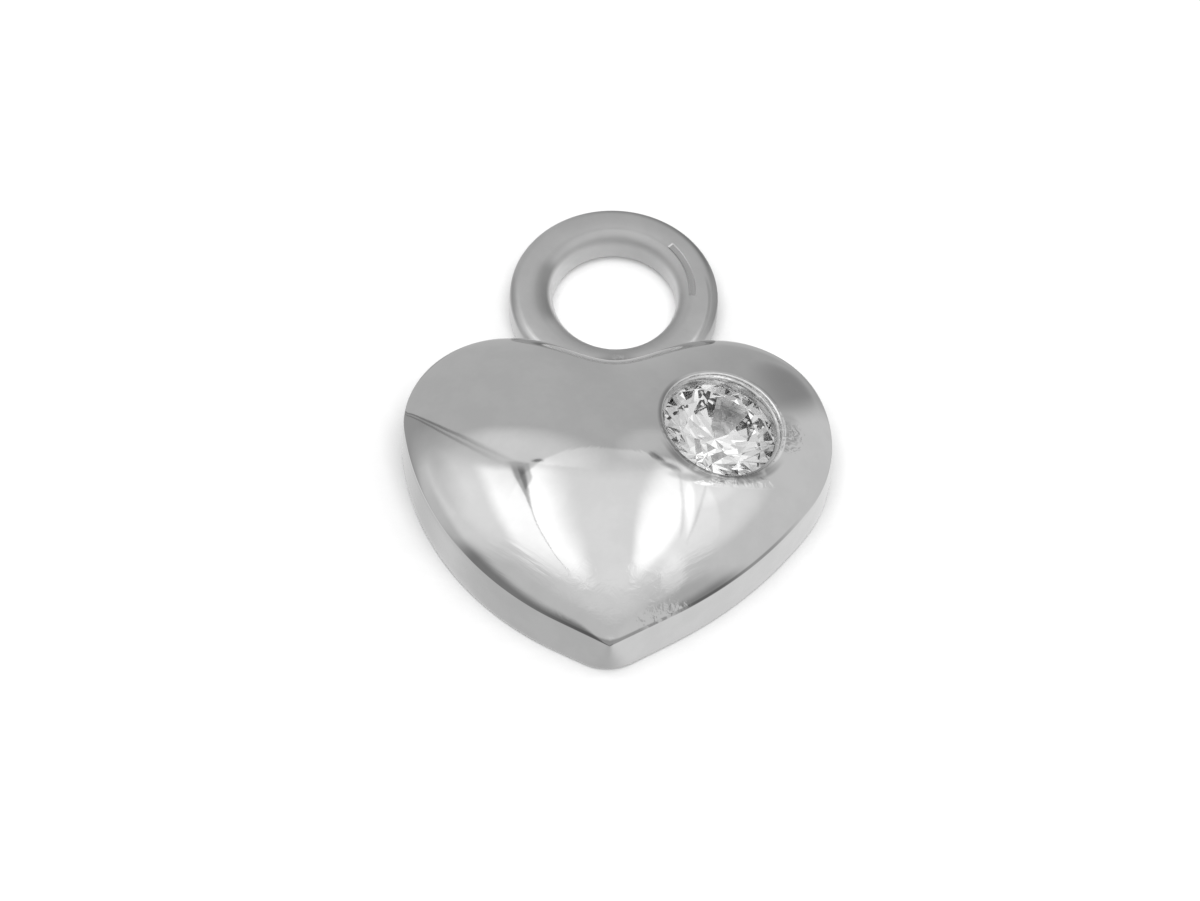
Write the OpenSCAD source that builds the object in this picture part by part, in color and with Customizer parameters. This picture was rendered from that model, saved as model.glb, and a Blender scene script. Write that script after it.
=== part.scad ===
// Puffed heart charm with a hanging ring cast in one piece with it, and one
// round stone set flush in the right lobe. It lies on its flat back: +X is to
// its right, +Y runs from the tip to the ring, +Z comes out of the domed front,
// and the origin is under the middle of the whole charm.

/* [Heart outline] */
// Height of the notch above the tip
notch_y = 6.22; // [6.2:0.01:6.25]
// Distance of the right lobe's centre from the middle line
right_lobe_x = 1.99; // [1.95:0.01:2.05]
// Height of the right lobe's centre above the tip
right_lobe_y = 4.99; // [4.9:0.01:5.05]
// Radius of the right lobe's round top
right_lobe_r = 2.06; // [2.0:0.01:2.1]
// Direction in which the right lobe runs into its shoulder, in degrees
right_lobe_end = 24; // [15:1:30]
// Radius of the right shoulder
right_shoulder_r = 2.71; // [2.65:0.01:2.75]
// Direction in which the right shoulder runs into its flank, in degrees
right_shoulder_end = -32; // [-33:1:-30]
// Radius of the long right flank
right_flank_r = 8.1; // [8.0:0.05:8.15]
// Distance of the left lobe's centre from the middle line
left_lobe_x = 1.83; // [1.8:0.01:1.87]
// Height of the left lobe's centre above the tip
left_lobe_y = 4.81; // [4.75:0.01:4.85]
// Radius of the left lobe's round top
left_lobe_r = 2.08; // [2.04:0.01:2.1]
// Direction in which the left lobe runs into its shoulder, in degrees
left_lobe_end = 6; // [4:1:12]
// Radius of the left shoulder
left_shoulder_r = 1.5; // [1.4:0.05:1.6]
// Direction in which the left shoulder runs into its flank, in degrees
left_shoulder_end = -7; // [-8:1:-5]
// Radius of the long left flank
left_flank_r = 5.44; // [5.35:0.01:5.48]

/* [Heart wall] */
// Height of the upright wall round the heart, at its middle
wall_h = 1.02; // [0.95:0.01:1.1]
// How much higher the wall stands for each millimetre to the left
rim_slope = 0.033; // [0:0.001:0.04]
// Radius of the tip at the back, which runs out to a sharp tip at the rim
back_tip_r = 0.9; // [0.3:0.05:1.0]
// Softened edge round the flat back
back_edge = 0.12; // [0.05:0.01:0.2]

/* [Dome] */
// Height of the dome over the rim
dome_h = 1.15; // [1.1:0.01:1.3]
// Height of the dome's top above the tip, along the heart
dome_y = 4.1; // [3.8:0.05:4.3]
// Steepness of the dome at the rim, where 1 would be upright
dome_edge = 0.98; // [0.94:0.005:0.99]
// How quickly the dome grows rounder than the heart's outline
dome_roundness = 0.5; // [0.2:0.05:0.6]

/* [Hanging ring] */
// Height of the ring's centre above the tip
ring_y = 8.27; // [8.2:0.01:8.35]
// Outer radius of the ring
ring_r = 1.95; // [1.9:0.01:2.0]
// Radius of the ring's hole
ring_hole_r = 1.13; // [1.1:0.01:1.15]
// Thickness of the ring
ring_t = 0.7; // [0.68:0.01:0.75]
// Rounding of the ring's outer edges
ring_outer_round = 0.18; // [0.1:0.01:0.2]
// Rounding of the ring's inner edges
ring_inner_round = 0.25; // [0.2:0.01:0.3]

/* [Stone] */
// Diameter of the stone
stone_d = 2.2; // [2.15:0.01:2.25]
// Width of the stone's flat table, as a share of its diameter
table_share = 0.57; // [0.53:0.01:0.62]
// Slope of the crown's main facets, in degrees
crown_angle = 34.5; // [33:0.5:36]
// Slope of the pavilion's main facets, in degrees
pavilion_angle = 40.75; // [40:0.25:41.5]
// Thickness of the girdle
girdle_t = 0.07; // [0.06:0.01:0.08]
// Distance of the stone's table from the middle line
stone_x = 2.03; // [1.98:0.01:2.08]
// Height of the stone's table above the tip, along the heart
stone_y = 4.58; // [4.5:0.01:4.65]
// Height of the stone's table over the flat back
stone_z = 1.78; // [1.75:0.01:1.8]
// How far the stone leans out to the right, in degrees
stone_lean = 14; // [12:0.5:15]

/* [Seat of the stone] */
// Gap between the stone and the metal
seat_gap = 0.04; // [0.03:0.01:0.05]
// Width that the burnished lip reaches in over the girdle
lip_over = 0.015; // [0.01:0.005:0.02]
// Depth of the bright bevel cut round the mouth of the seat
bevel_depth = 0.1; // [0.08:0.01:0.12]
// Radius of the pit under the stone's point
pit_r = 0.3; // [0.25:0.05:0.35]
// Depth of that pit under the stone's point
pit_depth = 0.12; // [0.1:0.01:0.15]

/* [Hidden] */

// Length of the straight pieces that stand for the outline's curves
outline_step = 0.3;
// Number of steps from the rim to the dome's top
dome_steps = 10;
// Power that gives the dome its full, evenly rounded section
dome_power = 0.625;
// Smoothness of the turned shapes
round_fn = 96;

tip = [0, 0];
notch = [0, notch_y];
dome_centre = [0, dome_y];

// Direction in the plan at an angle from +X
function toward(angle) = [cos(angle), sin(angle)];

// Number of straight pieces in a stretch of the outline
function steps(length) = max(1, ceil(length / outline_step));

// Points along a straight line, without its last one
function line_points(a, b) =
    let (n = steps(norm(b - a)))
    [for (i = [0 : n - 1]) a + (b - a) * i / n];

// Points along an arc, without its last one
function arc_points(centre, radius, first, last) =
    let (n = steps(abs(last - first) * PI / 180 * radius))
    [for (i = [0 : n - 1]) centre + radius * toward(first + (last - first) * i / n)];

// Direction of the point where a line from outside touches a circle
function touch_angle(point, centre, radius, turn) =
    let (away = point - centre)
    atan2(away[1], away[0]) + turn * acos(radius / norm(away));

// Right half of a heart from the notch to just before the tip: a straight
// inner flank, the lobe, the shoulder, the long flank and a straight last
// stretch, each running smoothly into the next
function half_outline(lobe, lobe_r, lobe_end, shoulder_r, shoulder_end, flank_r) =
    let (
        shoulder = lobe + (lobe_r - shoulder_r) * toward(lobe_end),
        flank = shoulder + (shoulder_r - flank_r) * toward(shoulder_end),
        lobe_start = touch_angle(notch, lobe, lobe_r, -1),
        flank_end = touch_angle(tip, flank, flank_r, 1)
    )
    concat(
        line_points(notch, lobe + lobe_r * toward(lobe_start)),
        arc_points(lobe, lobe_r, lobe_start, lobe_end),
        arc_points(shoulder, shoulder_r, lobe_end, shoulder_end),
        arc_points(flank, flank_r, shoulder_end, flank_end),
        line_points(flank + flank_r * toward(flank_end), tip)
    );

right_half = half_outline([right_lobe_x, right_lobe_y], right_lobe_r, right_lobe_end,
                          right_shoulder_r, right_shoulder_end, right_flank_r);
left_half = half_outline([left_lobe_x, left_lobe_y], left_lobe_r, left_lobe_end,
                         left_shoulder_r, left_shoulder_end, left_flank_r);

// The whole outline, clockwise from the notch
outline = concat(
    right_half,
    [tip],
    [for (i = [len(left_half) - 1 : -1 : 1]) [-left_half[i][0], left_half[i][1]]]
);
count = len(outline);
tip_index = len(right_half);

// The charm's middle, which stands over the origin
middle = [
    (max([for (p = outline) p[0]]) + min([for (p = outline) p[0]])) / 2,
    (ring_y + ring_r) / 2
];

// The tip's rounding at the back: a circle that touches both straight stretches
right_of_tip = outline[tip_index - 1] / norm(outline[tip_index - 1]);
left_of_tip = outline[tip_index + 1] / norm(outline[tip_index + 1]);
tip_bisector = (right_of_tip + left_of_tip) / norm(right_of_tip + left_of_tip);
tip_half_angle = acos(right_of_tip * tip_bisector);
tip_round_reach = back_tip_r / tan(tip_half_angle);
tip_round_centre = tip_bisector * back_tip_r / sin(tip_half_angle);

// A point of the outline, drawn in to the rounded tip where it is near the tip
function round_tip(p) =
    let (away = p - tip_round_centre)
    norm(p) < tip_round_reach ? tip_round_centre + back_tip_r * away / norm(away) : p;

// Height of the rim at a distance right of the middle line
function rim_z(x) = wall_h - rim_slope * x;

// Height of the full dome at a share of the way out, from 1 at the top to 0
function bulge(share) = pow(1 - share * share, dome_power);

// Mean distance of the outline from the dome's centre
mean_reach = [for (p = outline) norm(p - dome_centre)] * [for (p = outline) 1 / count];

// A ring of the dome: the outline drawn in to a share of its size, rounded
// towards a circle, and lifted
function dome_ring(share) =
    let (
        round_part = dome_roundness * (1 - share),
        lift = (bulge(share * dome_edge) - bulge(dome_edge)) / (1 - bulge(dome_edge))
    )
    [for (p = outline)
        let (
            arm = p - dome_centre,
            round_arm = mean_reach * arm / norm(arm),
            q = dome_centre + share * (arm * (1 - round_part) + round_arm * round_part)
        )
        [q[0], q[1], rim_z(q[0]) + dome_h * lift]];

// The rings of the heart, from the flat back to just below the dome's top
back_share = 1 - back_edge / mean_reach;
heart_rings = concat(
    [
        [for (p = outline)
            let (q = dome_centre + (round_tip(p) - dome_centre) * back_share) [q[0], q[1], 0]],
        [for (p = outline) let (q = round_tip(p)) [q[0], q[1], back_edge]]
    ],
    [for (i = [0 : dome_steps - 1]) dome_ring(cos(90 * i / dome_steps))]
);
dome_top = [dome_centre[0], dome_centre[1], rim_z(dome_centre[0]) + dome_h];

// The solid heart: flat back, upright wall and dome
module heart() {
    last = len(heart_rings) - 1;
    polyhedron(
        points = concat([for (ring = heart_rings) each ring], [dome_top]),
        faces = concat(
            [[for (i = [count - 1 : -1 : 0]) i]],
            [for (k = [0 : last - 1], i = [0 : count - 1])
                let (j = (i + 1) % count)
                each [
                    [k * count + i, k * count + j, (k + 1) * count + j],
                    [k * count + i, (k + 1) * count + j, (k + 1) * count + i]
                ]],
            [for (i = [0 : count - 1])
                [last * count + i, last * count + (i + 1) % count, (last + 1) * count]]
        ),
        convexity = 4
    );
}

// Section of the ring: a flat bar with rounded edges
module ring_section() {
    inner_x = ring_hole_r + ring_inner_round;
    outer_x = ring_r - ring_outer_round;
    translate([ring_hole_r, ring_inner_round])
        square([ring_r - ring_hole_r, ring_t - 2 * ring_inner_round]);
    translate([inner_x, ring_outer_round])
        square([ring_r - inner_x, ring_t - 2 * ring_outer_round]);
    translate([inner_x, 0])
        square([outer_x - inner_x, ring_t]);
    for (z = [ring_inner_round, ring_t - ring_inner_round])
        translate([inner_x, z]) circle(r = ring_inner_round, $fn = round_fn);
    for (z = [ring_outer_round, ring_t - ring_outer_round])
        translate([outer_x, z]) circle(r = ring_outer_round, $fn = round_fn);
}

module hanging_ring() {
    translate([0, ring_y, 0])
        rotate([0, 0, -90]) rotate_extrude($fn = round_fn) ring_section();
}

// Web of metal that joins the ring to the heart at the bottom of the notch, a
// little thinner than the ring and clear of its hole
web_r = 0.42;
web_recess = 0.04;
web_from_hole = 0.15;
module notch_web() {
    translate([0, ring_y - ring_hole_r - web_from_hole - web_r, web_recess])
        cylinder(r = web_r, h = ring_t - 2 * web_recess, $fn = round_fn);
}

// Sizes of the stone, measured from the top of its girdle
stone_r = stone_d / 2;
table_corner_r = stone_r * table_share;
crown_h = (stone_r - table_corner_r) * tan(crown_angle);
pavilion_h = stone_r * tan(pavilion_angle);
eighth = 360 / 8;
sixteenth = 360 / 16;

// The stars' lower points lie half of the way from the table to the girdle,
// and the lower halves' inner points at about a quarter of the radius
table_edge_r = table_corner_r * cos(eighth / 2);
star_point_r = (table_edge_r + stone_r) / 2;
star_point_h = (stone_r - star_point_r * cos(eighth / 2)) * tan(crown_angle);
star_angle = atan((crown_h - star_point_h) / (star_point_r - table_edge_r));
half_plane_r = stone_r * cos(sixteenth / 2);
upper_half_angle = atan(star_point_h / (half_plane_r - star_point_r * cos(sixteenth / 2)));
lower_point_share = 0.23;
lower_point_r = lower_point_share * stone_r;
lower_point_h = (stone_r - lower_point_r * cos(eighth / 2)) * tan(pavilion_angle);
lower_half_angle = atan(lower_point_h / (half_plane_r - lower_point_r * cos(sixteenth / 2)));

// All that lies under a sloping facet plane, or over it for the pavilion.
// The plane passes a distance out from the axis at a height.
module under_facet(turn, slope, reach, height) {
    block = 4 * stone_d;
    rotate([0, 0, turn])
        translate([reach, 0, height])
            rotate([0, slope, 0])
                translate([-block / 2, -block / 2, slope < 90 ? -block : 0])
                    cube([block, block, block]);
}

// A tier of equal facets round the stone
module facet_tier(number, first_turn, slope, reach, height) {
    intersection_for (i = [0 : number - 1])
        under_facet(first_turn + 360 / number * i, slope, reach, height);
}

// The round brilliant, with the top of its girdle at height 0
module brilliant() {
    intersection() {
        translate([0, 0, -girdle_t - pavilion_h])
            cylinder(r = stone_r, h = pavilion_h + girdle_t + crown_h, $fn = round_fn);
        facet_tier(8, 0, crown_angle, stone_r, 0);
        facet_tier(8, eighth / 2, star_angle, table_edge_r, crown_h);
        facet_tier(16, sixteenth / 2, upper_half_angle, half_plane_r, 0);
        mirror([0, 0, 1]) {
            intersection() {
                facet_tier(8, 0, pavilion_angle, stone_r, girdle_t);
                facet_tier(16, sixteenth / 2, lower_half_angle, half_plane_r, girdle_t);
            }
        }
    }
}

// Puts what is made round the stone's axis, with the table at height 0, in its place
module at_stone() {
    translate([stone_x, stone_y, stone_z]) rotate([0, stone_lean, 0]) children();
}

// The seat, from its open mouth down to the pit under the stone's point. Each
// of the cuts reaches a little into the next.
mouth_slope = 0.8;
mouth_top = 0.5;
cut_overlap = 0.01;
module seat_cut() {
    lip_r = stone_r - lip_over;
    groove_r = stone_r + seat_gap / 2;
    groove_top = -crown_h + seat_gap / 2;
    groove_bottom = -crown_h - girdle_t - seat_gap / 2;
    cone_h = (groove_r - pit_r) * tan(pavilion_angle);
    pit_bottom = -crown_h - girdle_t - pavilion_h - pit_depth;
    translate([0, 0, -bevel_depth])
        cylinder(r1 = lip_r, r2 = lip_r + mouth_slope * (mouth_top + bevel_depth),
                 h = mouth_top + bevel_depth, $fn = round_fn);
    translate([0, 0, groove_top - cut_overlap])
        cylinder(r = lip_r, h = 2 * cut_overlap - bevel_depth - groove_top, $fn = round_fn);
    translate([0, 0, groove_bottom])
        cylinder(r = groove_r, h = groove_top - groove_bottom, $fn = round_fn);
    translate([0, 0, groove_bottom - cone_h])
        cylinder(r1 = pit_r, r2 = groove_r, h = cone_h, $fn = round_fn);
    translate([0, 0, pit_bottom])
        cylinder(r = pit_r, h = groove_bottom - cone_h - pit_bottom + cut_overlap,
                 $fn = round_fn);
}

// Heart, ring and web in one casting, with the seat drilled for the stone
module heart_body() {
    color("silver")
        translate([-middle[0], -middle[1], 0])
            difference() {
                union() {
                    heart();
                    hanging_ring();
                    notch_web();
                }
                at_stone() seat_cut();
            }
}

module stone() {
    color("lightcyan")
        translate([-middle[0], -middle[1], 0])
            at_stone() translate([0, 0, -crown_h]) brilliant();
}

heart_body();
stone();
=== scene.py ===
"""The look of a puffed heart charm in polished silver: the casting with its
hanging ring and its cut seat, the round stone, the pale sheet, the tent and the lamp."""
from functools import partial
from math import acos, atan2, ceil, cos, degrees, hypot, pi, radians, sin, tan

import bmesh
import bpy
from mathutils import Matrix, Vector


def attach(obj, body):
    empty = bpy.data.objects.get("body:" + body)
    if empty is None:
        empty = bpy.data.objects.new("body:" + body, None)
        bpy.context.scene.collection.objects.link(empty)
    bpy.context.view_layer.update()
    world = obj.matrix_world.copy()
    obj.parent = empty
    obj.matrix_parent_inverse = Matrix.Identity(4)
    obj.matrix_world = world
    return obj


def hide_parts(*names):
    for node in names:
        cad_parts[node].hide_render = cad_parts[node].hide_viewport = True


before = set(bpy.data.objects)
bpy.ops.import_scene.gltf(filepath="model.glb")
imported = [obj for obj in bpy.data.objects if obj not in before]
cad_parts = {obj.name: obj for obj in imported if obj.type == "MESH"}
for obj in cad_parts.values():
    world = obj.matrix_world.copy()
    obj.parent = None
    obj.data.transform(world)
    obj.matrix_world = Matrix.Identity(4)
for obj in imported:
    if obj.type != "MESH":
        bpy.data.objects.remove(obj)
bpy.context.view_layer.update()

# ---- Sizes in millimetres, from the tip of the heart, as the part has them
NOTCH_Y = 6.22
RIGHT_HALF = dict(lobe=(1.99, 4.99), lobe_r=2.06, lobe_end=24,
                  shoulder_r=2.71, shoulder_end=-32, flank_r=8.1)
LEFT_HALF = dict(lobe=(1.83, 4.81), lobe_r=2.08, lobe_end=6,
                 shoulder_r=1.5, shoulder_end=-7, flank_r=5.44)
WALL_H, RIM_SLOPE, BACK_TIP_R, BACK_EDGE = 1.02, 0.033, 0.9, 0.12
DOME_H, DOME_Y, DOME_EDGE, DOME_ROUNDNESS, DOME_POWER = 1.145, 4.1, 0.98, 0.5, 0.625
RING_Y, RING_R, RING_HOLE_R, RING_T = 8.27, 1.95, 1.13, 0.7
RING_OUTER_ROUND, RING_INNER_ROUND = 0.18, 0.25
HOLE_WEAR, HOLE_WEAR_FROM = (1.02, 1.05), -0.87
WEB_R, WEB_RECESS, WEB_FROM_HOLE = 0.42, 0.04, 0.15
STONE_R, STONE_LEAN, STONE_AT = 1.1, 14, Vector((2.03, 4.58, 1.78))
CROWN_H, GIRDLE_T, PAVILION_H = 0.325, 0.07, 0.948
SEAT_GAP, LIP_R, BEVEL_DEPTH, PAVILION_ANGLE = 0.02, 1.085, 0.1, 40.75
PIT_R, PIT_DEPTH = 0.3, 0.12
# The dome is cut open over the seat, inside this radius and above this depth
OPENING_R, OPENING_DEPTH = 1.39, 0.9
OUTLINE_STEP, WALL_STEPS, SEAT_SIDES, RING_STEPS, WEB_SIDES = 0.1, 5, 160, 160, 64
RIM_BREAK, SMOOTH_ANGLE = 0.018, 32
# How often each ring of the dome is smoothed along itself
LOOP_POLISH = 5


# ---- Ways of working a mesh
def rest():
    """Ends edit mode and lets go of everything"""
    if bpy.context.object and bpy.context.object.mode == "EDIT":
        bpy.ops.object.mode_set(mode="OBJECT")
    bpy.ops.object.select_all(action="DESELECT")


def work_on(piece):
    """Opens one piece in edit mode with nothing selected"""
    rest()
    bpy.context.view_layer.objects.active = piece
    piece.select_set(True)
    bpy.ops.object.mode_set(mode="EDIT")
    bpy.ops.mesh.select_all(action="DESELECT")


def pick(test, kind="VERT"):
    """Selects the corners, edges or faces whose place passes a test"""
    bpy.ops.mesh.select_mode(type=kind)
    bpy.ops.mesh.select_all(action="DESELECT")
    mesh = bmesh.from_edit_mesh(bpy.context.object.data)
    if kind == "VERT":
        for v in mesh.verts:
            if test(v.co):
                v.select_set(True)
    elif kind == "EDGE":
        for e in mesh.edges:
            if test(e.verts[0].co) and test(e.verts[1].co):
                e.select_set(True)
    else:
        for f in mesh.faces:
            if test(f.calc_center_median()):
                f.select_set(True)
    mesh.select_flush_mode()
    bmesh.update_edit_mesh(bpy.context.object.data)


def picked():
    """The places of the selected corners"""
    mesh = bmesh.from_edit_mesh(bpy.context.object.data)
    return [v.co.copy() for v in mesh.verts if v.select]


def shift(x=0.0, y=0.0, z=0.0):
    bpy.ops.transform.translate(value=(x, y, z))


def scale(x, y, z, centre):
    bpy.ops.transform.resize(value=(x, y, z), center_override=centre)


def turn(angle, axis, centre=(0, 0, 0)):
    """Turns what is selected anticlockwise, seen from the end of the axis"""
    bpy.ops.transform.rotate(value=-radians(angle), orient_axis=axis, center_override=centre)


def new_corner(x, y, z=0.0):
    """Adds one loose corner to the open piece and selects it alone"""
    bpy.ops.mesh.select_all(action="DESELECT")
    bpy.ops.mesh.primitive_plane_add(size=0.01, location=(0, 0, 0))
    bpy.ops.mesh.merge(type="CENTER")
    shift(x, y, z)


def draw_to(start, end):
    """Draws a straight line on from the selected corner, in short pieces"""
    run = Vector(end) - Vector(start)
    pieces = max(1, ceil(run.length / OUTLINE_STEP))
    for i in range(pieces):
        bpy.ops.mesh.extrude_vertices_move(
            TRANSFORM_OT_translate={"value": (run.x / pieces, run.y / pieces, 0)})


def draw_arc(centre, radius, first, last):
    """Draws an arc on from the selected corner, clockwise where first is more than last"""
    steps = max(1, ceil(abs(radians(last - first)) * radius / OUTLINE_STEP))
    bpy.ops.mesh.spin(steps=steps, angle=radians(first - last),
                      center=(centre[0], centre[1], 0), axis=(0, 0, 1))


def select_open_edges():
    bpy.ops.mesh.select_non_manifold(extend=False, use_wire=False, use_boundary=True,
                                     use_multi_face=False, use_non_contiguous=False,
                                     use_verts=False)


def face_outward():
    bpy.ops.mesh.select_all(action="SELECT")
    bpy.ops.mesh.normals_make_consistent(inside=False)


def finish_with(piece, kind, **settings):
    """Adds a modifier to a piece and applies it"""
    rest()
    bpy.context.view_layer.objects.active = piece
    piece.select_set(True)
    modifier = piece.modifiers.new(kind.title(), kind)
    for name, value in settings.items():
        setattr(modifier, name, value)
    bpy.ops.object.modifier_apply(modifier=modifier.name)


# ---- The heart's outline
def toward(angle):
    return Vector((cos(radians(angle)), sin(radians(angle))))


def touch_angle(point, centre, radius, side):
    """Direction of the point where a line from outside touches a circle"""
    away = Vector(point) - centre
    return degrees(atan2(away.y, away.x)) + side * degrees(acos(radius / away.length))


def draw_half(side, lobe, lobe_r, lobe_end, shoulder_r, shoulder_end, flank_r):
    """Draws half of the outline from the notch to the tip; side is 1 for the right one"""
    lobe = Vector(lobe)
    shoulder = lobe + (lobe_r - shoulder_r) * toward(lobe_end)
    flank = shoulder + (shoulder_r - flank_r) * toward(shoulder_end)
    lobe_start = touch_angle((0, NOTCH_Y), lobe, lobe_r, -1)
    flank_end = touch_angle((0, 0), flank, flank_r, 1)

    def place(point):
        return (side * point[0], point[1])

    def angle(a):
        return a if side > 0 else 180 - a

    new_corner(0, NOTCH_Y)
    draw_to((0, NOTCH_Y), place(lobe + lobe_r * toward(lobe_start)))
    for centre, radius, first, last in ((lobe, lobe_r, lobe_start, lobe_end),
                                        (shoulder, shoulder_r, lobe_end, shoulder_end),
                                        (flank, flank_r, shoulder_end, flank_end)):
        draw_arc(place(centre), radius, angle(first), angle(last))
    draw_to(place(flank + flank_r * toward(flank_end)), (0, 0))


bpy.ops.object.select_all(action="DESELECT")
bpy.ops.mesh.primitive_plane_add(size=0.01, location=(0, 0, 0))
heart = bpy.context.object
heart.name = heart.data.name = "puffed_heart"
work_on(heart)
bpy.ops.mesh.select_all(action="SELECT")
bpy.ops.mesh.delete(type="VERT")
draw_half(1, **RIGHT_HALF)
draw_half(-1, **LEFT_HALF)
bpy.ops.mesh.select_all(action="SELECT")
bpy.ops.mesh.remove_doubles(threshold=0.001)
outline = picked()
mean_reach = sum(hypot(p.x, p.y - DOME_Y) for p in outline) / len(outline)
middle = Vector(((max(p.x for p in outline) + min(p.x for p in outline)) / 2,
                 (RING_Y + RING_R) / 2, 0))

# ---- The dome: the rim is lifted and tipped a little to the right, and ring after
# ring is drawn in from it, ever rounder and flatter, up to the top
rim = (0, DOME_Y, WALL_H)
shift(z=WALL_H)
turn(degrees(atan2(RIM_SLOPE, 1)), "Y", rim)


def bulge(share):
    return (1 - share * share) ** DOME_POWER


def dome_height(share):
    return DOME_H * (bulge(share * DOME_EDGE) - bulge(DOME_EDGE)) / (1 - bulge(DOME_EDGE))


def loop_reach(centre):
    """Mean distance of the selected corners from a centre"""
    corners = picked()
    return sum((p - Vector(centre)).length for p in corners) / len(corners)


share, height, round_part = 1.0, 0.0, 0.0
for step in range(8, 90, 2):
    new_share = cos(radians(step))
    new_height, new_round = dome_height(new_share), DOME_ROUNDNESS * (1 - new_share)
    centre = (0, DOME_Y, WALL_H + new_height)
    bpy.ops.mesh.duplicate_move(
        TRANSFORM_OT_translate={"value": (0, 0, new_height - height)})
    scale(*3 * [new_share / share], centre)
    bpy.ops.transform.tosphere(value=1 - (1 - new_round) / (1 - round_part),
                               center_override=centre)
    reach = loop_reach(centre)
    bpy.ops.mesh.vertices_smooth(factor=0.5, repeat=LOOP_POLISH)
    scale(*3 * [reach / loop_reach(centre)], centre)
    share, height, round_part = new_share, new_height, new_round
bpy.ops.mesh.extrude_edges_move(
    TRANSFORM_OT_translate={"value": (0, 0, DOME_H - height)})
bpy.ops.mesh.merge(type="CENTER")
top = picked()[0]
pick(lambda p: (p - top).length > 1e-5)
bpy.ops.mesh.bridge_edge_loops()

# ---- The wall, drawn down from the rim, its tip rounded off at the back
bpy.ops.mesh.select_all(action="DESELECT")
select_open_edges()
right_of_tip, left_of_tip = (
    min((p.xy for p in outline if 0.05 < side * p.x < 0.15 and p.y < 1),
        key=lambda p: p.y).normalized() for side in (1, -1))
bisector = (right_of_tip + left_of_tip).normalized()
half_angle = right_of_tip.angle(bisector)
for step in range(1, WALL_STEPS + 1):
    left_over = (WALL_STEPS - step) / WALL_STEPS
    tip_r = BACK_TIP_R * (1 - left_over)
    tip_centre = bisector * tip_r / sin(half_angle)
    level = BACK_EDGE + (WALL_H - BACK_EDGE) * left_over
    bpy.ops.mesh.extrude_edges_move(TRANSFORM_OT_translate={"value": (0, 0, 0)})
    scale(1, 1, left_over / (left_over + 1 / WALL_STEPS), (0, 0, BACK_EDGE))
    pick(lambda p: abs(p.z - level) < 0.05 and p.xy.length < tip_r / tan(half_angle))
    tip_radii = [(p.xy - tip_centre).length for p in picked()]
    bpy.ops.transform.tosphere(value=1, center_override=(*tip_centre, level))
    draw_in = tip_r * len(tip_radii) / sum(tip_radii)
    scale(draw_in, draw_in, 1, (*tip_centre, level))
    pick(lambda p: abs(p.z - level + RIM_SLOPE * left_over * p.x) < 0.02)

# The softened edge and the flat back
pick(lambda p: abs(p.z - BACK_EDGE) < 1e-4)
share, height = 1.0, BACK_EDGE
for step in range(15, 91, 15):
    new_share = 1 - BACK_EDGE * (1 - cos(radians(step))) / mean_reach
    new_height = BACK_EDGE * (1 - sin(radians(step)))
    bpy.ops.mesh.extrude_edges_move(
        TRANSFORM_OT_translate={"value": (0, 0, new_height - height)})
    scale(new_share / share, new_share / share, 1, (0, DOME_Y, 0))
    share, height = new_share, new_height
bpy.ops.mesh.edge_face_add()
face_outward()

# The rim's crisp edge is broken a little by the polishing
pick(lambda p: abs(p.z - WALL_H + RIM_SLOPE * p.x) < 2e-3 and
     min(hypot(p.x - q.x, p.y - q.y) for q in outline) < 0.01, "EDGE")
bpy.ops.mesh.bevel(offset=RIM_BREAK, offset_type="OFFSET", segments=3, profile=0.5, affect="EDGES")
rest()

# ---- A copy of the whole heart, which keeps its smooth surface for later
heart.select_set(True)
bpy.context.view_layer.objects.active = heart
bpy.ops.object.duplicate(linked=False)
smooth_form = bpy.context.object
smooth_form.name = "smooth_form"


def tip_stone_upright(piece):
    """Moves a piece so that the stone's axis stands upright and its table is at height 0"""
    work_on(piece)
    bpy.ops.mesh.select_all(action="SELECT")
    shift(*(-STONE_AT))
    turn(-STONE_LEAN, "Y")


def lay_stone_back(piece):
    """Moves a piece back from there to its own place"""
    work_on(piece)
    bpy.ops.mesh.select_all(action="SELECT")
    turn(STONE_LEAN, "Y")
    shift(*STONE_AT)


# ---- The seat of the stone: a collar that lies on the dome, rolls over a narrow
# burnished lip and runs down the bevel and the groove to the cone and its pit
COLLAR = (1.30, 1.25, 1.215, 1.19)
LIP_ROLL = ((1.178, -0.004), (1.162, -0.013), (1.149, -0.027), (1.14, -0.045))


def draw_in_ring(factor, rise=0.0):
    """Draws the selected ring on to a smaller one, lifted a little"""
    bpy.ops.mesh.extrude_edges_move(TRANSFORM_OT_translate={"value": (0, 0, rise)})
    scale(factor, factor, factor, (0, 0, rise))


tip_stone_upright(heart)
tip_stone_upright(smooth_form)
rest()
bpy.ops.mesh.primitive_circle_add(vertices=SEAT_SIDES, radius=COLLAR[0], location=(0, 0, 0))
seat = bpy.context.object
seat.name = "seat"
work_on(seat)
bpy.ops.mesh.select_all(action="SELECT")
for outer, inner in zip(COLLAR, COLLAR[1:]):
    draw_in_ring(inner / outer)
finish_with(seat, "SHRINKWRAP", target=smooth_form, wrap_method="PROJECT",
            use_project_z=True, use_negative_direction=True, use_positive_direction=True)
work_on(seat)
pick(lambda p: hypot(p.x, p.y) < (COLLAR[-1] + COLLAR[-2]) / 2)
radius = COLLAR[-1]
for new_radius, rise in LIP_ROLL:
    draw_in_ring(new_radius / radius, rise)
    radius = new_radius


def sink_ring(radius, new_radius, height):
    """Draws the selected ring on to a flat one of a new radius at a height"""
    bpy.ops.mesh.extrude_edges_move(TRANSFORM_OT_translate={"value": (0, 0, 0)})
    scale(new_radius / radius, new_radius / radius, 0, (0, 0, height))
    return new_radius


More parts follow.
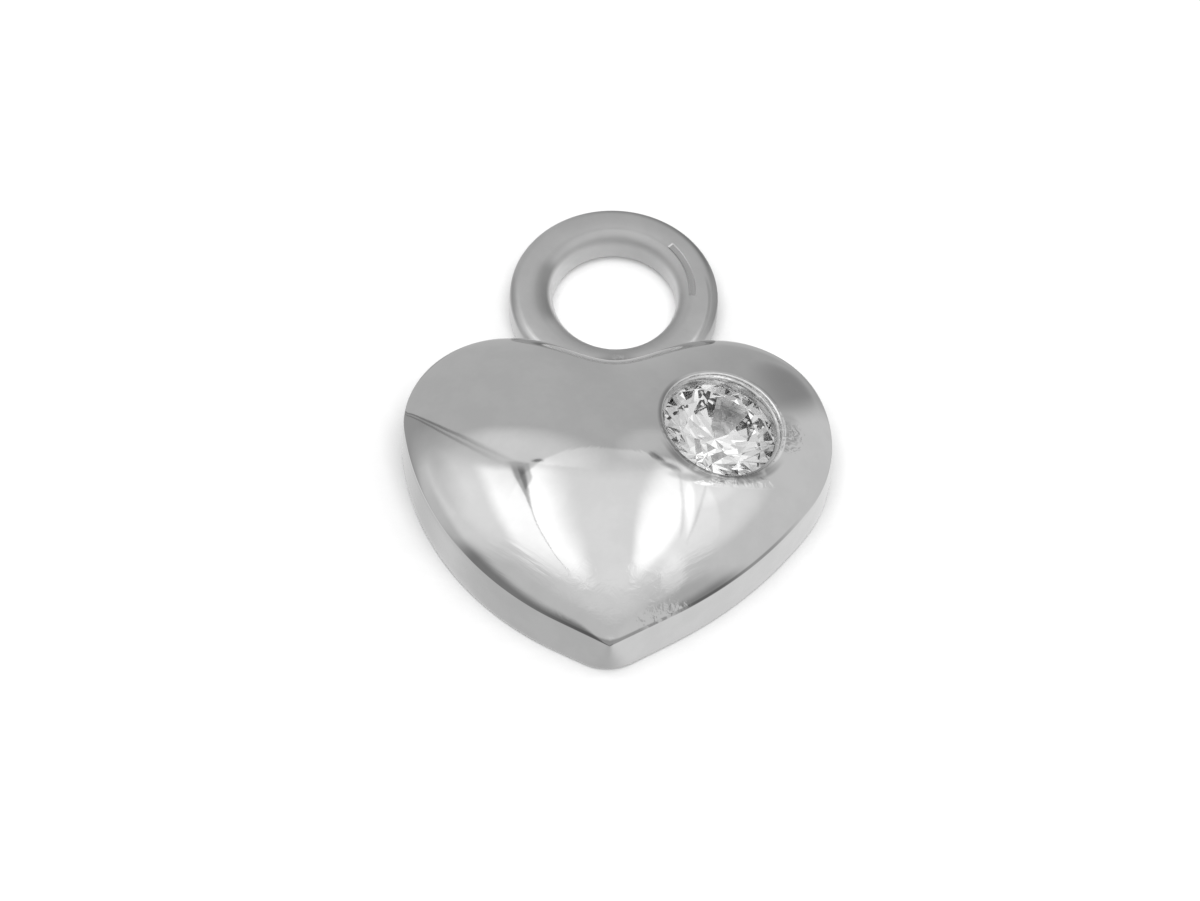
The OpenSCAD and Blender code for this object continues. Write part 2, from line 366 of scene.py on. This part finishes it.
groove_top, groove_bottom = -CROWN_H + SEAT_GAP, -CROWN_H - GIRDLE_T - SEAT_GAP
groove_r = STONE_R + SEAT_GAP
cone_bottom = groove_bottom - (groove_r - PIT_R) * tan(radians(PAVILION_ANGLE))
pit_bottom = -CROWN_H - GIRDLE_T - PAVILION_H - PIT_DEPTH
for new_radius, height in ((LIP_R + 0.006, -BEVEL_DEPTH - 0.01), (LIP_R, -BEVEL_DEPTH - 0.03),
                           (LIP_R, groove_top), (groove_r, groove_top),
                           (groove_r, groove_bottom), (PIT_R, cone_bottom),
                           (PIT_R, pit_bottom)):
    radius = sink_ring(radius, new_radius, height)
bpy.ops.mesh.merge(type="CENTER")
face_outward()

# The dome is opened over the seat and closed again up to the collar
work_on(heart)
pick(lambda p: hypot(p.x, p.y) < OPENING_R and p.z > -OPENING_DEPTH, "FACE")
bpy.ops.mesh.delete(type="FACE")
rest()
seat.select_set(True)
heart.select_set(True)
bpy.context.view_layer.objects.active = heart
bpy.ops.object.join()
work_on(heart)
bpy.ops.mesh.select_mode(type="EDGE")
select_open_edges()
bpy.ops.mesh.fill(use_beauty=True)
face_outward()
lay_stone_back(heart)
lay_stone_back(smooth_form)

# ---- The hanging ring: a flat bar with rounded edges, spun round its centre
rest()
bar_x = (RING_HOLE_R + RING_R) / 2
bpy.ops.mesh.primitive_plane_add(size=1, location=(0, 0, 0))
ring = bpy.context.object
ring.name = "hanging_ring"
work_on(ring)
bpy.ops.mesh.select_all(action="SELECT")
turn(90, "X")
scale(RING_R - RING_HOLE_R, 1, RING_T, (0, 0, 0))
shift(bar_x, RING_Y, RING_T / 2)
pick(lambda p: p.x > bar_x)
bpy.ops.mesh.bevel(offset=RING_OUTER_ROUND, segments=6, affect="VERTICES", profile=0.5)
pick(lambda p: p.x < RING_HOLE_R + 0.01)
bpy.ops.mesh.bevel(offset=RING_INNER_ROUND, segments=8, affect="VERTICES", profile=0.5)
bpy.ops.mesh.select_all(action="SELECT")
bpy.ops.mesh.delete(type="ONLY_FACE")
bpy.ops.mesh.select_all(action="SELECT")
bpy.ops.mesh.spin(steps=RING_STEPS, angle=2 * pi, use_auto_merge=True,
                  center=(0, RING_Y, 0), axis=(0, 0, 1))
bpy.ops.mesh.select_all(action="SELECT")
bpy.ops.mesh.remove_doubles(threshold=0.001)
bpy.ops.mesh.normals_make_consistent(inside=False)
# The hole is worn a little wider at the top, the bottom and on the right
pick(lambda p: hypot(p.x, p.y - RING_Y) < RING_HOLE_R + RING_INNER_ROUND + 0.02)
scale(*HOLE_WEAR, 1, (HOLE_WEAR_FROM, RING_Y, 0))

# The web between the ring and the notch
rest()
bpy.ops.mesh.primitive_cylinder_add(
    vertices=WEB_SIDES, radius=WEB_R, depth=RING_T - 2 * WEB_RECESS,
    location=(0, RING_Y - RING_HOLE_R - WEB_FROM_HOLE - WEB_R, RING_T / 2))
web = bpy.context.object
web.name = "notch_web"
rest()
web.select_set(True)
bpy.context.view_layer.objects.active = web
bpy.ops.object.transform_apply(location=True, rotation=True, scale=True)
for part in (ring, web):
    finish_with(heart, "BOOLEAN", operation="UNION", solver="EXACT", object=part)
    bpy.data.objects.remove(part)

# ---- The surface is shaded smooth, and the dome takes its sheen from the whole form
for piece in (heart, smooth_form):
    rest()
    bpy.context.view_layer.objects.active = piece
    piece.select_set(True)
    bpy.ops.object.shade_smooth_by_angle(angle=radians(SMOOTH_ANGLE))
    # The wall runs smoothly round the tip
    work_on(piece)
    pick(lambda p: p.z < WALL_H and hypot(p.x, p.y) < 0.25, "EDGE")
    bpy.ops.mesh.mark_sharp(clear=True)
rest()
axis = Vector((sin(radians(STONE_LEAN)), 0, cos(radians(STONE_LEAN))))
on_dome = []
for corner in heart.data.vertices:
    if corner.co.z < RING_T + 0.02:
        continue
    off = corner.co - STONE_AT
    if (off - off.dot(axis) * axis).length < COLLAR[-1] - 0.003:
        continue
    on_dome.append(corner.index)
heart.vertex_groups.new(name="dome").add(on_dome, 1, "REPLACE")
finish_with(heart, "DATA_TRANSFER", object=smooth_form, use_loop_data=True,
            data_types_loops={"CUSTOM_NORMAL"}, loop_mapping="POLYINTERP_LNORPROJ",
            vertex_group="dome")
bpy.data.objects.remove(smooth_form)

# To metres, with the charm's middle over the origin
work_on(heart)
bpy.ops.mesh.select_all(action="SELECT")
shift(*(-middle))
scale(0.001, 0.001, 0.001, (0, 0, 0))
rest()
print("finished heart", len(heart.data.vertices), "corners", len(heart.data.polygons), "faces")


# ---- Finishes
SILVER_SHADE, STONE_IOR = 0.76, 2.1


class Socket:
    """An output of a node that takes part in sums written as plain Python"""

    def __init__(self, finish, link):
        self.finish, self.link = finish, link

    def sum(self, operation, *terms):
        return self.finish.node("ShaderNodeMath", {"operation": operation}, dict(enumerate(terms)))

    def __add__(self, other): return self.sum("ADD", self, other)
    def __radd__(self, other): return self.sum("ADD", other, self)
    def __sub__(self, other): return self.sum("SUBTRACT", self, other)
    def __rsub__(self, other): return self.sum("SUBTRACT", other, self)
    def __mul__(self, other): return self.sum("MULTIPLY", self, other)
    def __rmul__(self, other): return self.sum("MULTIPLY", other, self)
    def __truediv__(self, other): return self.sum("DIVIDE", self, other)
    def __pow__(self, other): return self.sum("POWER", self, other)
    def __abs__(self): return self.sum("ABSOLUTE", self)
    def most(self, other): return self.sum("MAXIMUM", self, other)
    def arctan(self, other): return self.sum("ARCTAN2", self, other)

    def between(self, low, high):
        """Runs smoothly from 0 at low to 1 at high"""
        return self.finish.node("ShaderNodeMapRange", {"interpolation_type": "SMOOTHSTEP"},
                                {"Value": self, "From Min": low, "From Max": high})


class Finish:
    """The nodes of a material, or of the light of the room"""

    def __init__(self, name, kind=bpy.data.materials, surface="Principled BSDF"):
        self.owner = kind.new(name)
        self.owner.use_nodes = True
        self.tree = self.owner.node_tree
        self.surface = self.tree.nodes[surface]

    def node(self, kind, settings=None, inputs=None, output=0):
        """Adds a node: its settings first, then the values or links of its sockets"""
        node = self.tree.nodes.new(kind)
        for name, value in (settings or {}).items():
            setattr(node, name, value)
        for name, value in (inputs or {}).items():
            self.set(node.inputs[name], value)
        return Socket(self, node.outputs[output])

    def set(self, socket, value):
        if isinstance(value, Socket):
            self.tree.links.new(value.link, socket)
        else:
            socket.default_value = value

    def shine(self, **inputs):
        """Sets the sockets of the shader itself"""
        for name, value in inputs.items():
            self.set(self.surface.inputs[name.replace("_", " ")], value)

    def place(self):
        """The place on the charm, in millimetres from its middle"""
        metres = self.node("ShaderNodeTexCoord", output="Object")
        return self.node("ShaderNodeVectorMath", {"operation": "SCALE"},
                         {0: metres, "Scale": 1000})

    def parts(self, vector):
        """The three numbers of a place or direction"""
        node = self.tree.nodes.new("ShaderNodeSeparateXYZ")
        self.set(node.inputs[0], vector)
        return [Socket(self, out) for out in node.outputs]

    def lay(self, vector, at, turned=(0, 0, 0), size=(1, 1, 1)):
        """The place as measured from another middle, in a turned and resized frame"""
        return self.node("ShaderNodeMapping", {"vector_type": "TEXTURE"},
                         {"Vector": vector, "Location": at, "Rotation": turned, "Scale": size})

    def reach(self, vector, at=(0, 0), radii=(1, 1), lean=0):
        """Distance from an upright line, in shares of the radii"""
        near = self.lay(vector, (*at, 0), (0, 0, radians(lean)), (*radii, 1000))
        return self.node("ShaderNodeVectorMath", {"operation": "LENGTH"}, {0: near}, "Value")

    def spot(self, vector, at, radii, lean=0):
        """A soft oval: 1 in its middle and 0 outside 1.4 times its radii"""
        reach = self.reach(vector, at, radii, lean)
        return 1 - (reach * reach).between(0, 2)

    def cloud(self, vector, size, detail=2.0, roughness=0.5, distortion=0.0):
        """Uneven patches; a larger size number makes smaller ones"""
        return self.node("ShaderNodeTexNoise", {},
                         {"Vector": vector, "Scale": size, "Detail": detail,
                          "Roughness": roughness, "Distortion": distortion})


def polished_silver():
    """Bright on the dome, satin on the wall and the ring, worn where tools and hands were, with
    painted shade and painted light at the rims, the seat, the lip and the ring
    """
    metal = Finish("polished_silver")
    place = metal.place()
    x, y, z = metal.parts(place)
    spot, cloud = partial(metal.spot, place), partial(metal.cloud, place)

    # The parts of the casting
    ring_x, ring_y = -middle.x, RING_Y - middle.y
    ring_reach = metal.reach(place, (ring_x, ring_y))
    ring_angle = (y - ring_y).arctan(x - ring_x) * (180 / pi)
    on_ring = ring_reach.between(2.04, 1.96) * z.between(0.75, 0.71)
    wall = (z + RIM_SLOPE * x - WALL_H).between(-0.02, -0.05) * (1 - on_ring)
    dome = (1 - wall) * (1 - on_ring)
    from_stone = metal.lay(place, (*(STONE_AT.xy - middle.xy), STONE_AT.z),
                           (0, radians(STONE_LEAN), 0))
    stone_reach = metal.reach(from_stone)
    stone_right, stone_up, stone_depth = metal.parts(from_stone)
    toward_ring = (stone_right + stone_up).between(-0.6, 0.6)
    cone = stone_reach.between(1.16, 1.13) * stone_depth.between(-0.3, -0.4)
    seat = stone_reach.between(1.16, 1.13) * stone_depth.between(0.1, 0.05)
    lip = ((stone_reach - 1.17 - 0.04 * cloud(3.0)).between(0.06, 0.02) *
           stone_reach.between(1.1, 1.14))

    # Soft waves that polishing by hand leaves, and finer mottling where the tip was held
    tip = spot((-0.05, -4.25), (1.15, 0.55))
    frayed = spot((0.55, -4.5), (0.75, 0.3), 30) * (z - WALL_H).between(0.35, 0.1)
    left_streaks = spot((-1.75, -3.65), (0.75, 0.28), -35)
    right_streaks = spot((1.3, -3.55), (0.7, 0.25), 38)
    burnished = spot((3.15, -0.62), (0.38, 0.36)) + spot((2.35, -1.75), (0.7, 0.1), 12)
    waves = cloud(0.9, 1.0) * 0.0016 + cloud(2.6, 2.0) * 0.0003
    mottled = (cloud(3.4, 3.0, 0.6, 0.6) * tip + cloud(8.0, 2.0, 0.6, 0.5) * frayed) * 0.006 * (
        z.between(0.8, 0.95))
    along_left = metal.lay(place, (0, 0, 0), (0, 0, radians(-37)), (1.2, 0.16, 0.5))
    along_right = metal.lay(place, (0, 0, 0), (0, 0, radians(38)), (1.0, 0.16, 0.5))
    streaks = (metal.cloud(along_left, 1.6, 3.0) * left_streaks +
               metal.cloud(along_right, 1.8, 3.0) * right_streaks) * 0.004
    pressed = cloud(5.5, 2.0, 0.5, 1.2) * 0.014 * burnished
    scratches = metal.cloud(metal.lay(place, (0, 0, 0), (0, 0, 0.5), (1.5, 0.03, 1)), 2.0, 2.0)
    crossing = metal.cloud(metal.lay(place, (0, 0, 0), (0, 0, -0.9), (1.5, 0.03, 1)), 2.0, 2.0)
    fine = (scratches + crossing) * 0.00005

    # A flattened mark on the ring, and the cast skin of the ring and of the lip
    mark = (abs(ring_reach - 1.46 - 0.0012 * ring_angle).between(0.07, 0.05) *
            abs(ring_angle - 23).between(24.5, 22.5) * on_ring)
    skin = cloud(7.0, 3.0) * 0.002 * on_ring + cloud(9.0, 1.0) * 0.01 * lip

    # Grime in the corner of the notch; painted shade along the ring's edges, in its groove, on its
    # inner rounding and on the far left of the wall; and a painted reflection that lightens the
    # wall of the hole
    corner = spot((0.0, 1.2), (0.55, 0.45)) * z.between(1.0, 0.8)
    grime = corner * cloud(4.5, 4.0, 0.7, 0.8).between(0.3, 0.52)
    inner_side = abs(abs(ring_angle) - 176).between(32, 16) * (-1 * x).between(0, 0.5) * on_ring
    edge_shade = ring_reach.between(1.62, 1.32) * ring_reach.between(1.22, 1.28) * inner_side
    # Painted reflection: the wall of the hole is lightened as if it mirrored the white sheet, less
    # at the top
    hole = ring_reach.between(1.28, 1.19) * on_ring * (1 - 0.4 * (y - ring_y).between(0.5, 1.0))
    worn = ring_reach.between(1.48, 1.36)
    # Painted shade on the far left of the wall
    far_left_shade = wall * x.between(-3.0, -3.7)
    # Painted shade that dims the ring's inner rounding
    inner_round_shade = ring_reach.between(1.52, 1.4) * ring_reach.between(1.18, 1.25) * on_ring
    outer_shade = ring_reach.between(1.78, 1.9) * abs(ring_angle - 40).between(85, 50) * on_ring
    # Painted shade: a thin dark line where a groove runs round the ring's lower right; the groove
    # itself is not modelled
    groove = abs(ring_reach - 1.78 + 0.0022 * ring_angle).between(0.035, 0.012) * (
        abs(ring_angle + 10).between(26, 16) * on_ring)
    stain = cloud(1.7, 3.0, 0.6)

    # Painted shade: a dark line along the lower rim, broken to the right of the tip
    from_rim = abs(z - WALL_H + RIM_SLOPE * x - 0.02)
    painted_rim_shade = (from_rim.between(0.045, 0.015) * x.between(-2.0, -0.5) * y.between(-1.9, -2.9) *
                (1 - 0.85 * spot((0.75, -4.4), (0.38, 0.3)) * cloud(5.0, 2.0).between(0.4, 0.5)))
    # Painted shade: a thin dark line along the upper rims
    upper_rim_shade = from_rim.between(0.055, 0.02) * y.between(0.5, 1.3) * (1 - on_ring)
    # Painted shade on the dome below the stone, broken up by a cloud
    shade_under_stone = (stone_reach.between(1.38, 1.3) * stone_up.between(-0.5, -0.95) *
                   cloud(3.0, 2.0).between(0.3, 0.45))

    # Painted shade: a dark outline round the lip, on its lower left
    lip_shade_line = (stone_reach.between(1.28, 1.22) * stone_reach.between(1.17, 1.2) *
                (1 - toward_ring))

    # Painted light and shade: the lip is lighter on its upper right and darker on its lower left,
    # the seat's wall is darkened, and the hole's wall is lightened
    shade = (SILVER_SHADE - 0.03 * stain.between(0.35, 0.65) - 0.07 * on_ring - 0.05 * seat +
             (0.3 * toward_ring - 0.1) * lip + 0.31 * hole)
    shade = shade * (1 - 0.68 * grime) * (1 - 0.33 * edge_shade) * (1 - 0.2 * groove)
    shade = shade * (1 - 0.45 * painted_rim_shade - 0.28 * upper_rim_shade) * (1 - 0.4 * shade_under_stone)
    shade = shade * (1 - 0.42 * outer_shade) * (1 - 0.15 * inner_round_shade)
    shade = shade * (1 - 0.4 * lip_shade_line) * (1 - 0.38 * far_left_shade)
    shade = shade - 0.05 * mark + 0.21 * cone
    roughness = (0.025 + 0.03 * stain * dome + 0.13 * wall + 0.1 * seat + 0.1 * cone +
                 (0.26 + 0.25 * worn + 0.35 * hole) * on_ring + 0.3 * grime - 0.12 * mark +
                 0.12 * tip * cloud(2.6, 2.0).between(0.45, 0.65))
    height = waves * dome + mottled + streaks + pressed + fine + skin - 0.01 * mark
    bump = metal.node("ShaderNodeBump", {}, {"Strength": 1.0, "Distance": 0.001, "Height": height})
    metal.shine(Base_Color=shade, Metallic=1.0, Roughness=roughness, Normal=bump)
    return metal.owner


def clear_crystal():
    """Clear and cut, with a breath of haze on the facets"""
    crystal = Finish("clear_crystal")
    haze = crystal.cloud(crystal.place(), 2.5, 3.0).between(0.5, 0.8)
    crystal.shine(Base_Color=(1, 1, 1, 1), Roughness=0.012 * haze, IOR=STONE_IOR,
                  Transmission_Weight=1.0)
    return crystal.owner


def white_paper():
    """A matt sheet with a faint grain of fibres"""
    paper = Finish("white_paper")
    fibres = paper.cloud(paper.place(), 1.6, 4.0, 0.6, 0.4)
    bump = paper.node("ShaderNodeBump", {},
                      {"Strength": 1.0, "Distance": 0.001, "Height": 0.02 * fibres})
    paper.shine(Base_Color=0.87 + 0.05 * fibres, Roughness=0.8 + 0.15 * fibres, Normal=bump)
    return paper.owner


heart.data.materials.clear()
heart.data.materials.append(polished_silver())
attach(heart, "root")
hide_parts("heart_body")
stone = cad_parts["stone"]
stone.material_slots[0].material = clear_crystal()

# ---- Table
bpy.ops.mesh.primitive_plane_add(size=3, location=(0, 0, 0))
table = bpy.context.object
table.name = "table"
table.data.materials.append(white_paper())

# ---- Camera: 55 degrees above the table, a little to the left, from 0.7 m. A point in
# front of the tip stands at its own place in a picture of 1200 x 901
PIXELS_PER_MM, ELEVATION, AZIMUTH, ROLL = 53.83, 55.14, -1.78, 2.95
PICTURE_W, PICTURE_H, SENSOR_W, CAMERA_WAY = 1200, 901, 36, 0.7
BEFORE_TIP, BEFORE_TIP_AT = 1.502, (607.2, 744.05)


def aim_camera():
    """Sets the camera so that the charm stands in the picture as measured"""
    e, a, r = radians(ELEVATION), radians(AZIMUTH), radians(ROLL)
    level = Vector((cos(a), sin(a), 0))
    back = Vector((sin(a) * cos(e), -cos(a) * cos(e), sin(e)))
    upright = back.cross(level)
    right = level * cos(r) + upright * sin(r)
    up = upright * cos(r) - level * sin(r)
    across = (PICTURE_W / 2 - BEFORE_TIP_AT[0]) / PIXELS_PER_MM
    along = (BEFORE_TIP_AT[1] - PICTURE_H / 2) / PIXELS_PER_MM
    start = Vector((-middle.x, -middle.y - BEFORE_TIP, 0))
    target = (start + across * right + along * up) * 0.001
    camera = bpy.data.objects.new("camera", bpy.data.cameras.new("camera"))
    bpy.context.scene.collection.objects.link(camera)
    camera.matrix_world = Matrix.Translation(target + CAMERA_WAY * back) @ Matrix(
        (right, up, back)).transposed().to_4x4()
    camera.data.sensor_width = SENSOR_W
    camera.data.lens = SENSOR_W * CAMERA_WAY * 1000 * PIXELS_PER_MM / PICTURE_W
    camera.data.clip_start, camera.data.clip_end = 0.001, 10
    bpy.context.scene.camera = camera


aim_camera()


# ---- Light: a tent of pale cloth round the table, and a wide soft lamp overhead
LAMP_WATTS, LAMP_SIZE, LAMP_PLACE = 9.8, 0.9, Vector((0, -0.3, 1.2))
# How much lighter or darker the tent is in small ovals: where, how wide, how turned
SPOTS_AND_FOLDS = (
    (0.1, (0.33, 0.04), (0.11, 0.13), 20),
    (0.07, (0.11, 0.275), (0.05, 0.04)),
    (0.07, (0.27, 0.14), (0.06, 0.05)),
    (-0.16, (0.42, 0.38), (0.06, 0.09), -20),
    (-0.05, (-0.53, 0.13), (0.1, 0.09)),
    (-0.4, (-0.13, 0.211), (0.014, 0.004), 10),
    (-0.4, (0.132, 0.235), (0.02, 0.0035), -40),
    (-0.3, (0.166, 0.206), (0.024, 0.005), -32),
    (-0.16, (0.2, 0.178), (0.035, 0.008), -20),
    (-0.14, (0.225, 0.1), (0.09, 0.003), -65),
    (0.12, (0.246, 0.09), (0.08, 0.008), -65),
    (-0.1, (0.27, 0.08), (0.09, 0.003), -75),
    (0.08, (0.36, -0.14), (0.02, 0.13), 40))


def hang_lamp():
    """Hangs the lamp, turned toward the charm"""
    light = bpy.data.lights.new("overhead", "AREA")
    light.shape = "RECTANGLE"
    light.size = light.size_y = LAMP_SIZE
    light.energy = LAMP_WATTS
    holder = bpy.data.objects.new("overhead", light)
    bpy.context.scene.collection.objects.link(holder)
    holder.location = LAMP_PLACE
    holder.rotation_euler = (-LAMP_PLACE).to_track_quat("-Z", "Y").to_euler()
    return holder


def tent_level(tent):
    """How light the tent is in each direction, 1 is white: p runs to the right and q
    away, both 0 straight overhead and 1 at the height of the table"""
    x, y, z = tent.parts(tent.node("ShaderNodeTexCoord", output="Generated"))
    p = x / (z.most(-0.9) + 1)
    q = y / (z.most(-0.9) + 1)
    azimuth = y.arctan(x) * (180 / pi)
    spot = partial(tent.spot, tent.node("ShaderNodeCombineXYZ", {}, {"X": p, "Y": q}))
    # The walls: the left one is lightest straight to the left, the back one is in shade
    left = 0.71 + 0.1 * spot((-0.7, 0.04), (0.9, 0.17)) + 0.05 * spot((-0.38, 0.08), (0.13, 0.13))
    left = left - 0.15 * q.between(0.14, 0.42) * p.between(-0.25, -0.45)
    right = 0.74
    side = left + (right - left) * p.between(-0.25, 0.2)
    back = 0.66 - 0.05 * p.between(-0.1, 0.3) - 0.1 * spot((0.45, 0.75), (0.14, 0.26))
    along = (-0.167 - p).most(0)
    over_corner = q - 0.202 - 0.33 * along - 0.77 * along * along
    behind = azimuth.between(44, 56) * over_corner.between(-0.004, 0.004)
    level = side + (back - side) * behind
    # Two dark gaps in the left corner of the tent, which meet at the ceiling
    gap = abs(over_corner).between(0.012, 0.004)
    second_gap = abs(over_corner + 0.024 + 0.06 * along * along).between(0.01, 0.003)
    level = level - (0.16 * gap + 0.12 * second_gap) * along.between(0.0, 0.25)
    # The ceiling
    hump = (0.266 - 2.3 * (p - 0.03) * (p - 0.03) - q).between(0, 0.005)
    roof = (0.84 - 0.08 * q.between(0.17, 0.24) - 0.05 * q.between(-0.09, -0.16) -
            0.08 * q.between(-0.2, -0.3))
    level = level + (roof - level) * hump * spot((0.02, -0.05), (0.3, 0.4))
    # The lamps through the cloth; a fold parts the left one in two
    fold = p + 0.184 - 0.9 * (q - 0.05) * (q - 0.05) * q.between(0.16, 0.08)
    above, below = hump * q.between(-0.16, -0.02), q.between(0.2, 0.17) * q.between(-0.16, 0.0)
    level = level + 0.17 * fold.between(-0.155, -0.085) * fold.between(0.002, -0.002) * below
    past_fold = fold - 0.03 * q.between(0.12, 0.165)
    level = level + 0.2 * past_fold.between(-0.002, 0.002) * fold.between(0.13, 0.03) * above * (
        q.between(0.23, 0.18))
    level = level + 0.2 * spot((0.195, 0.06), (0.045, 0.15), 12) * above
    beside_fold = past_fold.between(0.003, 0) * q.between(0.205, 0.2)
    level = level - 0.06 * fold.between(-0.045, 0) * beside_fold * q.between(0.165, 0.186)
    level = level - 0.04 * fold.between(-0.03, -0.012) * beside_fold * q.between(0.08, 0.13)
    level = level + 0.13 * spot((-0.19, 0.235), (0.16, 0.055)) * behind
    width = 0.002 + 0.02 * q.between(0.06, 0.19)
    level = level - 0.3 * (abs(fold) / width).between(1, 0.5) * q.between(0.205, 0.2) * below
    for strength, *oval in SPOTS_AND_FOLDS:
        level = level + strength * spot(*oval)
    # In front the tent darkens down to the table, more on the left
    front = azimuth.between(-172, -162) * azimuth.between(-17, -27) * (
        1 - azimuth.between(-60, -50) * azimuth.between(-31.5, -34.5))
    rightward = x.between(-0.5, 0.5)
    level = level - 0.1 * front * rightward * z.between(0.75, 0.5)
    level = level - (0.26 - 0.1 * rightward) * front * (z + 0.12 * rightward).between(0.56, 0.28)
    level = level - 0.1 * abs(azimuth).between(160, 175) * z.between(0.45, 0.25)
    # Below the height of the table the tent stands for the sheet that the charm lies on
    floor_back = 0.66 + 0.16 * z.between(-0.55, -0.75)
    floor_front = 0.65 + 0.14 * x.between(0.0, 0.6) + 0.03 * x.between(0.0, -0.6)
    floor = floor_front + (floor_back - floor_front) * y.between(-0.1, 0.45)
    return level + (floor - level) * z.between(-0.25, -0.4)


tent = Finish("tent", bpy.data.worlds, "Background")
# Past the edge of the sheet the camera itself sees only white
seen = tent.node("ShaderNodeLightPath")
tent.shine(Color=tent_level(tent) ** 2.2 * (1 - seen) + SILVER_SHADE * seen,
           Strength=1 / SILVER_SHADE)
tent.owner.cycles.sampling_method = "NONE"
bpy.context.scene.world = tent.owner
overhead = hang_lamp()
# Polished metal mirrors the tent alone
overhead.visible_glossy = overhead.visible_transmission = table.visible_glossy = False
bpy.context.scene.cycles.max_bounces = bpy.context.scene.cycles.glossy_bounces = 16
bpy.context.scene.view_settings.view_transform = "Standard"
